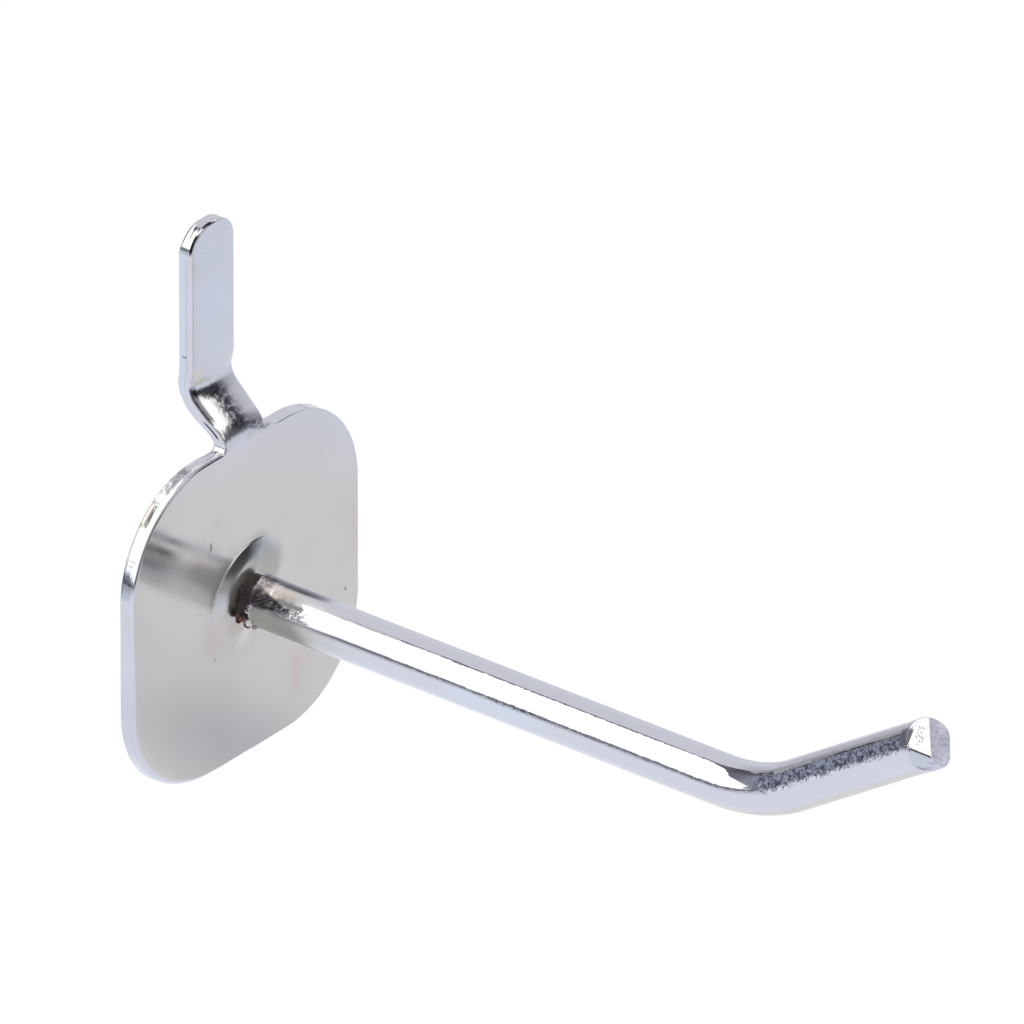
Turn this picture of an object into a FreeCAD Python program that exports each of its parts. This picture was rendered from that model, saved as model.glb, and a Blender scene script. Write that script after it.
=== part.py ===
import FreeCAD, Part
import math
import os

# Chromed hook for a perforated steel board: a stamped plate with a cranked tongue that drops
# behind the board, and a round wire prong welded to a boss pressed up in the plate.
# Millimetres. The origin lies on the prong's axis in the plate's back face, which bears on the
# board. +Z is up, the prong points along -Y, and the tongue stands behind the plate, at +Y.

# Plate
sheet_thickness = 1.5
plate_width = 32.2
axis_to_plate_top = 15.6
axis_to_plate_bottom = 16.2
plate_corner_radius = 10.3
pressed_edge_radius = 0.35

# Boss pressed forward round the foot of the prong
boss_height = 0.8
boss_land = 0.93
boss_slope_angle = 32.0
boss_foot_bend = 0.5
boss_shoulder_bend = 0.4

# Tongue, cranked back through the board and up behind it
board_gap = 2.15
neck_waist = 0.25
neck_angle = 48.0
neck_root_radius = 0.5
shortest_top_edge = 0.8
neck_flare_radius = 11.0
lower_bend_radius = 1.5
upper_bend_radius = 2.7
tongue_width = 6.0
tongue_tip_flat = 0.6
axis_to_tongue_top = 36.9

# Prong
wire_diameter = 4.8
board_to_bend_corner = 60.4
bend_corner_to_end = 22.3
upturn_angle = 32.3
upturn_radius = 16.0

# Sheared end of the prong: a burnished facet beside a square torn one, and a rolled-over side
burnish_tilt = 10.0
shear_line_angle = 34.0
roll_side_angle = 221.6
roll_flat_distance = 1.2
roll_tilt = 45.0

# Weld bead in the corner between the boss and the prong
weld_climb = 1.5
weld_spread = 0.55
weld_skin = 0.12
weld_waist = 0.27
weld_waist_climb = 0.6
spatter_radius = 0.42
spatter_stand_off = 0.21
spatter_angles = (196.0, 232.0, 262.0, 318.0, 64.0)

back_y = 0.0
front_y = back_y - sheet_thickness
boss_y = front_y - boss_height
wire_radius = wire_diameter / 2
touching = 1e-4


def point_yz(y, z):
    return FreeCAD.Vector(0, y, z)


def point_xz(x, z):
    return FreeCAD.Vector(x, 0, z)


def point_xy(x, y):
    return FreeCAD.Vector(x, y, 0)


def line(start, end):
    return Part.LineSegment(start, end).toShape()


def arc(centre, radius, from_angle, to_angle, point):
    """Arc about a centre given in the plane of point(), its angles in degrees."""
    def at(angle):
        turn = math.radians(angle)
        return point(centre[0] + radius * math.cos(turn), centre[1] + radius * math.sin(turn))
    return Part.Arc(at(from_angle), at((from_angle + to_angle) / 2), at(to_angle)).toShape()


def ends(edge):
    return edge.valueAt(edge.FirstParameter), edge.valueAt(edge.LastParameter)


def tongue_start():
    """Height where the upper bend ends and the tongue stands upright."""
    turn = math.radians(neck_angle)
    outer = lower_bend_radius + sheet_thickness
    leaves = outer * math.cos(turn)
    run = board_gap - upper_bend_radius * (1 - math.cos(turn)) - lower_bend_radius + leaves
    slant = run / math.sin(turn)
    neck_top = axis_to_plate_top + outer * math.sin(turn) + slant * math.cos(turn)
    return neck_top + upper_bend_radius * math.sin(turn)


def crank_side(lower_radius, upper_radius, plate_y, tongue_y):
    """One side of the cranked sheet seen from the side, from the plate's foot to the tongue's tip."""
    lower_centre = (back_y + lower_bend_radius, axis_to_plate_top)
    upper_centre = (back_y + board_gap - upper_bend_radius, tongue_start())
    lower = arc(lower_centre, lower_radius, 180, 180 - neck_angle, point_yz)
    upper = arc(upper_centre, upper_radius, -neck_angle, 0, point_yz)
    return [
        line(point_yz(plate_y, -axis_to_plate_bottom), ends(lower)[0]),
        lower,
        line(ends(lower)[1], ends(upper)[0]),
        upper,
        line(ends(upper)[1], point_yz(tongue_y, axis_to_tongue_top)),
    ]


def front_side():
    outer = lower_bend_radius + sheet_thickness
    return crank_side(outer, upper_bend_radius, front_y, back_y + board_gap)


def back_side():
    outer = upper_bend_radius + sheet_thickness
    return crank_side(lower_bend_radius, outer, back_y, back_y + board_gap + sheet_thickness)


def side_profile():
    """Section of the whole sheet seen from the side: plate, crank and tongue at one thickness."""
    front = front_side()
    back = back_side()
    top = line(ends(front[-1])[1], ends(back[-1])[1])
    foot = line(ends(back[0])[0], ends(front[0])[0])
    return Part.Wire(front + [top] + back[::-1] + [foot])


def blank_flank(side):
    """Right or left edge of the blank above the plate: root corner, flare and rounded tongue tip."""
    tongue = tongue_width / 2
    neck = tongue - neck_waist
    flare = neck_flare_radius
    root_z = axis_to_plate_top + neck_root_radius
    tip = tongue - tongue_tip_flat / 2
    tip_z = axis_to_tongue_top - tip
    swing = math.degrees(math.acos(1 - neck_waist / (2 * flare)))
    run = 2 * flare * math.sin(math.radians(swing))

    def point(x, z):
        return point_xz(side * x, z)

    return [
        arc((neck + neck_root_radius, root_z), neck_root_radius, 270, 180, point),
        arc((neck + flare, root_z), flare, 180, 180 - swing, point),
        arc((tongue - flare, root_z + run), flare, -swing, 0, point),
        line(point(tongue, root_z + run), point(tongue, tip_z)),
        arc((tongue - tip, tip_z), tip, 0, 90, point),
    ]


def plate_side(side):
    """Right or left edge of the plate, with both corners, which leave a flat edge beside the neck."""
    neck_reach = tongue_width / 2 - neck_waist + neck_root_radius
    corner = min(plate_corner_radius, plate_width / 2 - neck_reach - shortest_top_edge)
    centre_x = plate_width / 2 - corner
    low_z = corner - axis_to_plate_bottom
    high_z = axis_to_plate_top - corner

    def point(x, z):
        return point_xz(side * x, z)

    low = arc((centre_x, low_z), corner, 270, 360, point)
    high = arc((centre_x, high_z), corner, 0, 90, point)
    return [low, line(ends(low)[1], ends(high)[0]), high]


def blank_outline():
    """Outline of plate and tongue seen from the front."""
    right = plate_side(1) + blank_flank(1)
    left = plate_side(-1) + blank_flank(-1)
    for half in (right, left):
        half.insert(3, line(ends(half[2])[1], ends(half[3])[0]))
    tip = line(ends(right[-1])[1], ends(left[-1])[1])
    foot = line(ends(left[0])[0], ends(right[0])[0])
    return Part.Wire(right + [tip] + left[::-1] + [foot])


def pressed_edges(sheet, rim):
    """Edges of the sheet that lie both on its front side and on its rim."""
    front = Part.Wire(front_side())
    found = []
    for edge in sheet.Edges:
        middle = edge.valueAt((edge.FirstParameter + edge.LastParameter) / 2)
        on_rim = rim.distToShape(Part.Vertex(middle.x, 0, middle.z))[0] < touching
        on_front = front.distToShape(Part.Vertex(0, middle.y, middle.z))[0] < touching
        if on_rim and on_front:
            found.append(edge)
    return found


def boss_foot_radius():
    """Radius where the boss's slope runs out into the plate, from the land round the prong's foot."""
    slope = math.radians(boss_slope_angle)
    bends = boss_foot_bend + boss_shoulder_bend + sheet_thickness
    straight = (boss_height - bends * (1 - math.cos(slope))) / math.sin(slope)
    return wire_radius + boss_land + bends * math.sin(slope) + straight * math.cos(slope)


def boss_form(foot_bend, shoulder_bend, closing_y):
    """Solid under one face of the boss, turned about the prong's axis and closed at closing_y."""
    foot_centre = (boss_foot_radius(), front_y - boss_foot_bend)
    shoulder_centre = (wire_radius + boss_land, boss_y + boss_shoulder_bend + sheet_thickness)
    slope = boss_slope_angle
    foot = arc(foot_centre, foot_bend, 90, 90 + slope, point_xy)
    shoulder = arc(shoulder_centre, shoulder_bend, 270 + slope, 270, point_xy)
    corners = [
        ends(shoulder)[1],
        point_xy(0, ends(shoulder)[1].y),
        point_xy(0, closing_y),
        point_xy(boss_foot_radius(), closing_y),
        ends(foot)[0],
    ]
    edges = [foot, line(ends(foot)[1], ends(shoulder)[0]), shoulder]
    edges += [line(here, after) for here, after in zip(corners, corners[1:])]
    section = Part.Face(Part.Wire(edges))
    return section.revolve(FreeCAD.Vector(0, 0, 0), FreeCAD.Vector(0, 1, 0), 360)


def back_plate():
    """Plate and tongue from one sheet, its front rim rounded by the punch, with the boss pressed in."""
    rim = blank_outline()
    width = plate_width * 2
    sheet = Part.Face(side_profile()).extrude(FreeCAD.Vector(width, 0, 0))
    sheet.translate(FreeCAD.Vector(-width / 2, 0, 0))
    depth = 2 * (board_gap + 2 * sheet_thickness)
    blank = Part.Face(rim).extrude(FreeCAD.Vector(0, depth, 0))
    blank.translate(FreeCAD.Vector(0, -depth / 2, 0))
    sheet = sheet.common(blank)
    sheet = sheet.makeFillet(pressed_edge_radius, pressed_edges(sheet, rim))

    shoulder_outside = boss_shoulder_bend + sheet_thickness
    foot_outside = boss_foot_bend + sheet_thickness
    raised = boss_form(boss_foot_bend, shoulder_outside, (front_y + back_y) / 2)
    hollow = boss_form(foot_outside, boss_shoulder_bend, back_y + sheet_thickness)
    return sheet.fuse(raised).cut(hollow).removeSplitter()


def hook_rod():
    """Round wire from the boss's top, straight out and turned up, with its end as it was sheared."""
    turn = math.radians(upturn_angle)
    tangent = upturn_radius * math.tan(turn / 2)
    bend_start = point_yz(tangent - board_to_bend_corner, 0)
    centre = (bend_start.y, upturn_radius)
    bend = arc(centre, upturn_radius, 270, 270 - upturn_angle, point_yz)
    along = point_yz(-math.cos(turn), math.sin(turn))
    corner = point_yz(-board_to_bend_corner, 0)
    tip = corner + along * bend_corner_to_end
    spare = wire_radius
    path = Part.Wire([
        line(point_yz(boss_y, 0), bend_start),
        bend,
        line(ends(bend)[1], tip + along * spare),
    ])
    section = Part.Wire(Part.makeCircle(wire_radius, point_yz(boss_y, 0), FreeCAD.Vector(0, -1, 0)))
    rod = path.makePipeShell([section], True, True)

    side = FreeCAD.Vector(1, 0, 0)
    up = point_yz(math.sin(turn), math.cos(turn))
    toward_burnish = 180.0 - shear_line_angle
    burnished = facing(along, side, up, toward_burnish, burnish_tilt)
    rolled = facing(along, side, up, roll_side_angle, roll_tilt)
    roll_point = tip + across(side, up, roll_side_angle) * roll_flat_distance
    for point, normal in ((tip, along), (tip, burnished), (roll_point, rolled)):
        rod = rod.cut(space_beyond(point, normal))
    return rod


def across(side, up, angle):
    """Unit direction in the end face, angle in degrees from side towards up."""
    turn = math.radians(angle)
    return side * math.cos(turn) + up * math.sin(turn)


def facing(along, side, up, angle, tilt):
    """Normal of a facet of the end face that leans by tilt towards the direction at angle."""
    lean = math.radians(tilt)
    return along * math.cos(lean) + across(side, up, angle) * math.sin(lean)


def space_beyond(point, normal):
    """Block past a cutting plane, wide enough to take off the wire's end."""
    reach = 4 * wire_diameter
    return Part.makeCylinder(reach, reach, point, normal)


def weld_bead():
    """Fillet of weld metal that climbs the prong's foot from the boss, with beads of spatter."""
    spread = wire_radius + weld_spread
    section = [
        FreeCAD.Vector(wire_radius, boss_y, 0),
        FreeCAD.Vector(spread, boss_y, 0),
        FreeCAD.Vector(wire_radius + weld_skin, boss_y - weld_climb, 0),
        FreeCAD.Vector(wire_radius, boss_y - weld_climb, 0),
    ]
    waist = FreeCAD.Vector(wire_radius + weld_waist, boss_y - weld_waist_climb, 0)
    skin = Part.Arc(section[1], waist, section[2]).toShape()
    edges = [line(section[0], section[1]), skin, line(section[2], section[3]), line(section[3], section[0])]
    bead = Part.Face(Part.Wire(edges)).revolve(FreeCAD.Vector(0, 0, 0), FreeCAD.Vector(0, 1, 0), 360)
    seat = wire_radius + spatter_stand_off
    for angle in spatter_angles:
        turn = math.radians(angle)
        centre = FreeCAD.Vector(seat * math.cos(turn), boss_y - spatter_radius, seat * math.sin(turn))
        bead = bead.fuse(Part.makeSphere(spatter_radius, centre))
    foot = FreeCAD.Vector(0, boss_y, 0)
    shank = Part.makeCylinder(wire_radius, 2 * weld_climb, foot, FreeCAD.Vector(0, -1, 0))
    return bead.cut(shank).removeSplitter()


os.makedirs("parts", exist_ok=True)
for node, make in (("back_plate", back_plate), ("hook_rod", hook_rod), ("weld_bead", weld_bead)):
    shape = make()
    shape.exportStep("parts/" + node + ".step")
    print(node, len(shape.Solids), shape.isValid(), round(shape.Volume, 2), shape.BoundBox)
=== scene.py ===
import math

import bmesh
import bpy
import numpy as np
from bpy.props import FloatProperty, FloatVectorProperty, PointerProperty
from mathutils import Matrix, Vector, noise


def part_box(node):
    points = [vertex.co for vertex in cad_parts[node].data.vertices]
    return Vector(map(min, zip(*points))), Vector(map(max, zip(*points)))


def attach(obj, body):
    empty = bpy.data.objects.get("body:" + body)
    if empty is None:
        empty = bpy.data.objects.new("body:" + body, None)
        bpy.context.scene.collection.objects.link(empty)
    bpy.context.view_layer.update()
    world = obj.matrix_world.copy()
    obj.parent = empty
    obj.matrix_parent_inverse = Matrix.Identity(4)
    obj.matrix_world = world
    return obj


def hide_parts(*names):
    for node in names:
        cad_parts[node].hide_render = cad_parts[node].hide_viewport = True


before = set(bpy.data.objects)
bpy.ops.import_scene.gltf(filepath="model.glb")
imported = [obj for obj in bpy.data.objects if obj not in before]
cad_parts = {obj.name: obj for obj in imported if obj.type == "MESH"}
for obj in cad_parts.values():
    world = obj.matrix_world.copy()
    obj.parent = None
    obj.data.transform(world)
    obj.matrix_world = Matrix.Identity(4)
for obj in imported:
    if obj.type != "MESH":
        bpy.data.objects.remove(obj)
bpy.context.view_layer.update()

bl_info = {
    "name": "Pegboard hook",
    "version": (1, 0, 0),
    "blender": (4, 5, 0),
    "location": "3D View > Sidebar > Hook",
    "description": "Dresses a chromed pegboard hook and sets it in a small photo studio",
    "category": "Add Mesh",
}

MM = 0.001
SUNK = 0.55  # how deep the prong and the weld reach into the boss, in millimetres
plate_low, plate_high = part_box("back_plate")
_, rod_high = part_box("hook_rod")


# Sizes and colours that a user would change


def length(name, millimetres, description):
    size = millimetres * MM
    return FloatProperty(name=name, description=description, default=size, unit="LENGTH", precision=5)


def degrees(name, value, description):
    return FloatProperty(name=name, description=description, default=math.radians(value), unit="ROTATION")


def tint(name, value, description):
    limits = {"min": 0, "max": 1}
    return FloatVectorProperty(name=name, description=description, default=value, subtype="COLOR", **limits)


def amount(name, value, description, least):
    return FloatProperty(name=name, description=description, default=value, min=least)


class PlateSizes(bpy.types.PropertyGroup):
    thickness: length("Sheet thickness", 1.5, "Thickness of the stamped sheet")
    width: length("Plate width", (plate_high.x - plate_low.x) / MM, "Width of the plate across the board")
    top: length("Plate top", 15.6, "Height of the plate's top edge above the prong's axis")
    bottom: length("Plate bottom", -plate_low.z / MM, "Depth of the plate's bottom edge below the axis")
    corner: length("Corner radius", 10.3, "Radius of the plate's corners")
    neck_waist: length("Neck waist", 0.25, "How much narrower the neck is than the tongue, on each side")
    neck_root: length("Neck root radius", 0.5, "Radius in the corner between plate and neck")
    neck_flare: length("Neck flare radius", 11.0, "Radius of the curves that widen the neck into the tongue")
    tongue_width: length("Tongue width", 6.0, "Width of the tongue that goes through the board")
    tongue_flat: length("Tongue tip flat", 0.6, "Straight stretch at the tongue's tip")
    tongue_top: length("Tongue top", plate_high.z / MM, "Height of the tongue's tip above the prong's axis")
    board_gap: length("Board gap", 2.15, "Room for the board between plate and tongue")
    neck_angle: degrees("Neck angle", 48.0, "Slope of the crank between plate and tongue")
    lower_bend: length("Lower bend radius", 1.5, "Inside radius of the bend at the plate")
    upper_bend: length("Upper bend radius", 2.7, "Inside radius of the bend at the tongue")
    boss_height: length("Boss height", 0.8, "Height of the boss pressed up round the prong's foot")
    boss_land: length("Boss land", 3.33, "Radius of the boss's flat top")
    boss_slope: degrees("Boss slope", 32.0, "Steepness of the boss's side")
    neck_crown: length("Neck crown", 0.38, "How far the neck's edges fall back from its middle")


class ProngSizes(bpy.types.PropertyGroup):
    wire: length("Wire radius", 2.4, "Radius of the prong's wire")
    foot: length("Foot", -rod_high.y / MM, "Distance of the prong's foot from the board")
    corner: length("Bend corner", 60.4, "Distance of the bend's corner from the board")
    end: length("Bend corner to end", 22.3, "Length from the bend's corner to the end")
    upturn: degrees("Upturn", 32.3, "Angle by which the end turns up")
    bend: length("Bend radius", 16.0, "Radius of the bend's centreline")
    burnish_tilt: degrees("Burnish tilt", 10.0, "Lean of the burnished half of the sheared end")
    burnish_side: degrees("Burnish side", 150.0, "Side that the burnished half leans to")
    roll_side: degrees("Roll side", 214.6, "Side that the shear rolled over")
    roll_flat: length("Roll start", 1.19, "Distance of the rolled side from the axis")
    chord_side: degrees("Chord side", 124.0, "Side on which the end's rim is pressed flat")
    chord: length("Chord", 1.98, "Distance of that flat from the axis")


class WeldSizes(bpy.types.PropertyGroup):
    climb: length("Climb", 1.42, "How far the weld climbs the prong")
    spread: length("Spread", 0.44, "How far the weld spreads on the boss")
    lip: length("Lip", 0.1, "Height of the rough lip of plating at the weld's edge")


class FinishColours(bpy.types.PropertyGroup):
    chrome: tint("Chrome", (0.552, 0.556, 0.566), "Bright chromium plate")
    haze: tint("Haze", (0.50, 0.485, 0.48), "Warm haze in thin plating")
    stain: tint("Stain", (0.42, 0.20, 0.09), "Heat stain and first rust at the weld")
    burnt: tint("Burnt metal", (0.075, 0.06, 0.055), "Scale in the weld that the plating missed")
    pit: tint("Pit", (0.10, 0.095, 0.11), "Pits and scratches")


class StageSizes(bpy.types.PropertyGroup):
    floor_depth: length("Floor depth", 48.0, "Depth of the floor below the prong's axis")
    floor_reach: length("Floor reach", 3000.0, "Half the floor's side")
    azimuth: degrees("Camera azimuth", -51.4993, "Turn of the camera round the hook")
    elevation: degrees("Camera elevation", 29.0254, "Height angle of the camera")
    aim_right: length("Aim right", 24.9754, "Centre of the picture, to the right of the origin")
    aim_up: length("Aim up", 6.9171, "Centre of the picture, above the origin")
    span: length("Picture width", 91.7069, "Width that the picture takes in")
    lens: amount("Lens", 1500, "Focal length in millimetres, long for little perspective", 50)
    key: amount("Large light", 2.4, "Brightness of the large light at the back left", 0)
    front: amount("Front light", 2.0, "Brightness of the light above the front", 0)


# Mesh helpers


def ridges(x, y, z, scale, seed, octaves=3):
    """Smooth noise from -1 to 1 at points in millimetres, its grains about 1 / scale millimetres wide."""
    offset = np.array((seed, -seed, 2 * seed))
    places = [Vector(np.array(point) * scale + offset) for point in np.broadcast(x, y, z)]
    total, weight, size = 0.0, 0.0, 1.0
    for _ in range(octaves):
        total = total + size * np.array([noise.noise(place) for place in places])
        weight += size
        places = [place * 2.03 for place in places]
        size *= 0.5
    return total / weight


def smooth_step(value, low, high):
    """0 below low, 1 above high, and smooth in between."""
    part = np.clip((value - low) / (high - low), 0, 1)
    return part * part * (3 - 2 * part)


def within(value, start, end, soft):
    """1 from start to end and 0 outside, with soft ends."""
    return smooth_step(value, start - soft, start) * (1 - smooth_step(value, end, end + soft))


def near_turn(around, place, width):
    """Bell round a place on the circle, in degrees."""
    return np.exp(-(((around - place + 180) % 360 - 180) / width) ** 2)


def circle(count):
    """Angles of points round the prong's axis, their cosines and sines, and the angles in degrees."""
    angle = np.linspace(0, 2 * math.pi, count, endpoint=False)
    return angle, np.cos(angle), np.sin(angle), np.degrees(angle)


def strip(first, second, closed=True):
    """Quads between two rows of vertex numbers of the same length."""
    count = len(first)
    last = count if closed else count - 1
    return [(first[i], first[(i + 1) % count], second[(i + 1) % count], second[i]) for i in range(last)]


def fan(row, centre, closed=True):
    """Triangles between a row of vertex numbers and one vertex."""
    count = len(row)
    last = count if closed else count - 1
    return [(row[i], row[(i + 1) % count], centre) for i in range(last)]


class Cloud:
    """Vertices in millimetres and faces of a mesh in the making."""

    def __init__(self):
        self.points = []
        self.lay = []
        self.faces = []

    def add(self, points, lay=(0, -9, 0)):
        """Adds points, with the coordinates that their finish is laid out in."""
        start = len(self.points)
        self.points.extend(tuple(map(float, point)) for point in points)
        self.lay.extend(np.broadcast_to(np.asarray(lay, float), (len(self.points) - start, 3)).tolist())
        return list(range(start, len(self.points)))

    def bridge(self, rows, closed=True):
        """Joins rows of vertex numbers with quads."""
        for first, second in zip(rows, rows[1:]):
            self.faces += strip(first, second, closed)

    def finish(self, name, slot, node, finish):
        """Makes the mesh object, hides the CAD node that it stands in for, and parents it to the root body.
        """
        mesh = bpy.data.meshes.new(name)
        mesh.from_pydata([tuple(c * MM for c in point) for point in self.points], [], self.faces)
        work = bmesh.new()
        work.from_mesh(mesh)
        bmesh.ops.recalc_face_normals(work, faces=work.faces)
        work.to_mesh(mesh)
        work.free()
        mesh.polygons.foreach_set("use_smooth", [True] * len(mesh.polygons))
        attribute = mesh.attributes.new("lay", "FLOAT_VECTOR", "POINT")
        attribute.data.foreach_set("vector", np.asarray(self.lay, np.float32).ravel() * MM)
        mesh.validate()
        mesh.update()
        piece = bpy.data.objects.new(name, mesh)
        bpy.context.scene.collection.objects.link(piece)
        mesh.materials.append(finish)
        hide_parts(node)
        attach(piece, "root")
        return piece


# Shader helpers


class Signal:
    """A shader socket that can be used in sums: the operators add Math nodes behind it."""

    def __init__(self, recipe, socket):
        self.recipe = recipe
        self.socket = socket

    def _math(self, operation, *terms):
        return self.recipe.node("ShaderNodeMath", {"operation": operation}, dict(enumerate(terms)))

    def __add__(self, other):
        return self._math("ADD", self, other)

    __radd__ = __add__

    def __sub__(self, other):
        return self._math("SUBTRACT", self, other)

    def __rsub__(self, other):
        return self._math("SUBTRACT", other, self)

    def __mul__(self, other):
        return self._math("MULTIPLY", self, other)

    __rmul__ = __mul__

    def __truediv__(self, other):
        return self._math("DIVIDE", self, other)

    def __abs__(self):
        return self._math("ABSOLUTE", self)

    def over(self, other):
        """The larger of two values."""
        return self._math("MAXIMUM", self, other)

    def angle(self, other):
        """Angle in degrees whose sine and cosine are in the ratio of the two values."""
        return self._math("ARCTAN2", self, other) * math.degrees(1)

    def between(self, low, high):
        """0 below low, 1 above high, and smooth in between; falls instead where low is above high."""
        settings = {"interpolation_type": "SMOOTHSTEP", "clamp": True}
        start, end = (0, 1) if low < high else (1, 0)
        low, high = min(low, high), max(low, high)
        inputs = {"Value": self, "From Min": low, "From Max": high, "To Min": start, "To Max": end}
        return self.recipe.node("ShaderNodeMapRange", settings, inputs, "Result")

    def inside(self, start, full, until, end):
        """0 up to start, 1 from full to until, and 0 again from end."""
        return self.between(start, full) * self.between(end, until)


class Recipe:
    """Builds one node tree and keeps the colour that its coats have made so far."""

    def __init__(self, tree):
        self.tree = tree
        self.colour = None
        tree.nodes.clear()

    def node(self, kind, settings=None, inputs=None, output=0):
        made = self.tree.nodes.new(kind)
        for key, value in (settings or {}).items():
            setattr(made, key, value)
        for key, value in (inputs or {}).items():
            socket = made.inputs[key]
            if isinstance(value, Signal):
                self.tree.links.new(value.socket, socket)
            else:
                socket.default_value = value
        return Signal(self, made.outputs[output]) if made.outputs else made

    def split(self, vector):
        outputs = self.node("ShaderNodeSeparateXYZ", None, {0: vector}).socket.node.outputs
        return [Signal(self, output) for output in outputs]

    def join(self, x, y, z):
        return self.node("ShaderNodeCombineXYZ", None, {0: x, 1: y, 2: z})

    def vector(self, operation, first, second, output=0):
        return self.node("ShaderNodeVectorMath", {"operation": operation}, {0: first, 1: second}, output)

    def dot(self, vector, direction):
        return self.vector("DOT_PRODUCT", vector, direction, "Value")

    def scaled(self, vector, factors):
        return self.vector("MULTIPLY", vector, factors)

    def distance(self, vector, point):
        return self.vector("DISTANCE", vector, point, "Value")

    def place(self):
        """Place on the object, in millimetres."""
        return self.scaled(self.node("ShaderNodeTexCoord", None, None, "Object"), (1 / MM,) * 3)

    def laid(self):
        """The coordinates that a piece's finish is laid out in, in millimetres."""
        lay = self.node("ShaderNodeAttribute", {"attribute_name": "lay"}, None, "Vector")
        return self.scaled(lay, (1 / MM,) * 3)

    def blend(self, factor, first, second):
        """Colour that goes from first to second as factor goes from 0 to 1."""
        settings = {"data_type": "RGBA", "clamp_factor": True}
        inputs = {0: factor, 6: self.opaque(first), 7: self.opaque(second)}
        return self.node("ShaderNodeMix", settings, inputs, 2)

    def coat(self, factor, colour):
        """Lays a colour over the colour so far, where factor isn't 0."""
        self.colour = self.blend(factor, self.colour, colour)

    @staticmethod
    def opaque(colour):
        return colour if isinstance(colour, Signal) else (*tuple(colour)[:3], 1.0)

    def grain(self, vector, per_mm, detail=2.0, roughness=0.5, distortion=0.0):
        """Noise from 0 to 1 whose grains are about 1 / per_mm millimetres wide."""
        inputs = {"Vector": vector, "Scale": per_mm, "Detail": detail, "Roughness": roughness}
        return self.node("ShaderNodeTexNoise", None, {**inputs, "Distortion": distortion}, "Fac")


def new_finish(name):
    material = bpy.data.materials.new(name)
    material.use_nodes = True
    return material, Recipe(material.node_tree)


def metal_surface(recipe, roughness, height, metallic):
    """Ends a recipe as metal of the colour so far, with its height in millimetres."""
    normal = recipe.node("ShaderNodeBump", None, {"Height": height, "Distance": MM, "Strength": 1.0})
    inputs = {"Base Color": recipe.colour, "Roughness": roughness, "Metallic": metallic, "Normal": normal}
    shader = recipe.node("ShaderNodeBsdfPrincipled", None, inputs)
    recipe.node("ShaderNodeOutputMaterial", None, {"Surface": shader})


# Plate and tongue


NECK_ARC, TIP_ARC = 6, 10  # places in rim_segments of the neck's first flare and the tip's corner


def rim_segments(plate):
    """Right half of the blank's outline as lines and arcs, from the bottom centre to the tip's centre."""
    half = plate.width / MM / 2
    top, bottom, corner = plate.top / MM, plate.bottom / MM, plate.corner / MM
    tongue = plate.tongue_width / MM / 2
    waist, root, flare = plate.neck_waist / MM, plate.neck_root / MM, plate.neck_flare / MM
    neck = tongue - waist
    flat = plate.tongue_flat / MM / 2
    tip = tongue - flat
    tip_z = plate.tongue_top / MM - tip
    root_z = top + root
    swing = math.degrees(math.acos(1 - waist / (2 * flare)))
    run = 2 * flare * math.sin(math.radians(swing))
    side = half - corner
    return [
        ("line", (0, -bottom), (side, -bottom), 0.45),
        ("arc", (side, corner - bottom), corner, -90, 0, 0.3),
        ("line", (half, corner - bottom), (half, top - corner), 0.45),
        ("arc", (side, top - corner), corner, 0, 90, 0.3),
        ("line", (side, top), (neck + root, top), 0.3),
        ("arc", (neck + root, root_z), root, 270, 180, 0.1),
        ("arc", (neck + flare, root_z), flare, 180, 180 - swing, 0.13),
        ("arc", (tongue - flare, root_z + run), flare, -swing, 0, 0.13),
        ("line", (tongue, root_z + run), (tongue, root_z + run + 3.2), 0.13),
        ("line", (tongue, root_z + run + 3.2), (tongue, tip_z), 0.4),
        ("arc", (flat, tip_z), tip, 0, 90, 0.14),
        ("line", (flat, tip_z + tip), (0, tip_z + tip), 0.15),
    ]


def trace_rim(plate):
    """Points of the right half of the rim, the directions into the sheet, and their segments' numbers."""
    traced = []
    for number, (kind, *shape, step) in enumerate(rim_segments(plate)):
        if kind == "line":
            start, end = np.array(shape, float)
            run = np.linalg.norm(end - start)
            along = (end - start) / run
            inward = (-along[1], along[0])
            count = max(1, round(run / step))
            traced += [(start + (end - start) * i / count, inward, number) for i in range(count)]
        else:
            centre, radius, first, final = shape
            turn = -1 if final > first else 1
            count = max(4, round(radius * abs(math.radians(final - first)) / step))
            for i in range(count):
                angle = math.radians(first + (final - first) * i / count)
                out = np.array((math.cos(angle), math.sin(angle)))
                traced.append((centre + radius * out, turn * out, number))
    traced.append((end, inward, number))
    return [np.array(column) for column in zip(*traced)]


def degrees_round(x, z):
    """Place round the prong's axis, from the right and upwards."""
    return np.degrees(np.arctan2(z, x)) % 360


def arc_height(radius, offset):
    """Height of a circle above its centre at an offset to the side."""
    return np.sqrt(np.maximum(radius ** 2 - offset ** 2, 0))


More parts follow.
